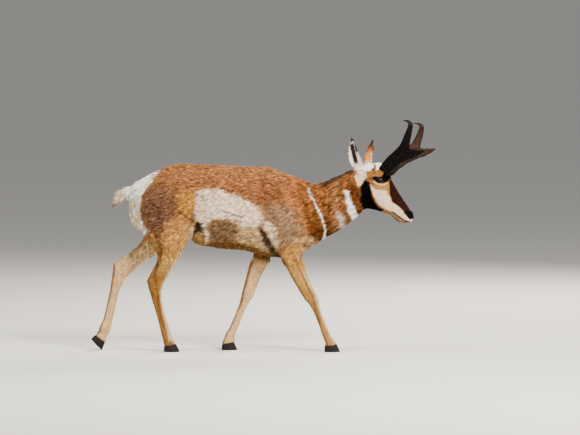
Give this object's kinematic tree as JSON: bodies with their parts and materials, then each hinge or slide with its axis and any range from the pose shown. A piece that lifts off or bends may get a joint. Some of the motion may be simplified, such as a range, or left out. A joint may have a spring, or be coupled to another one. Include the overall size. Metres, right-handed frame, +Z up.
{
  "type": "pronghorn buck model",
  "caption": "Life-size still model of an adult pronghorn buck in mid stride, with forked horns and a banded coat, standing on its own hooves.",
  "frame": {"origin": "middle of the outer box, on the floor under the hooves", "axes": "+X from tail to nose, the way it walks; +Y to the animal's left; +Z up"},
  "size_m": [1.6586, 0.3378, 1.1169],
  "materials": {
    "coat": "short coarse hair, tan with white and dark markings",
    "horn": "rough black horn with worn tips",
    "hoof": "dull black hoof with growth lines",
    "eye": "polished dark glass"
  },
  "bodies": {
    "root": {"head_skull": "coat", "head_muzzle": "coat", "head_chin": "coat", "ear_right": "coat", "ear_left": "coat", "eye_right": "eye", "eye_left": "eye", "horn_right_beam": "horn", "horn_right_prong": "horn", "horn_left_beam": "horn", "horn_left_prong": "horn", "neck_upper": "coat", "neck_lower": "coat", "trunk_shoulders": "coat", "trunk_barrel": "coat", "trunk_rump": "coat", "tail": "coat", "leg_hind_right_thigh": "coat", "leg_hind_right_gaskin": "coat", "leg_hind_right_cannon": "coat", "leg_hind_right_pastern": "coat", "hoof_hind_right_outer": "hoof", "hoof_hind_right_inner": "hoof", "leg_hind_left_thigh": "coat", "leg_hind_left_gaskin": "coat", "leg_hind_left_cannon": "coat", "leg_hind_left_pastern": "coat", "hoof_hind_left_inner": "hoof", "hoof_hind_left_outer": "hoof", "leg_fore_right_forearm": "coat", "leg_fore_right_cannon": "coat", "leg_fore_right_pastern": "coat", "hoof_fore_right_outer": "hoof", "hoof_fore_right_inner": "hoof", "leg_fore_left_forearm": "coat", "leg_fore_left_cannon": "coat", "leg_fore_left_pastern": "coat", "hoof_fore_left_inner": "hoof", "hoof_fore_left_outer": "hoof"}
  },
  "joints": []
}
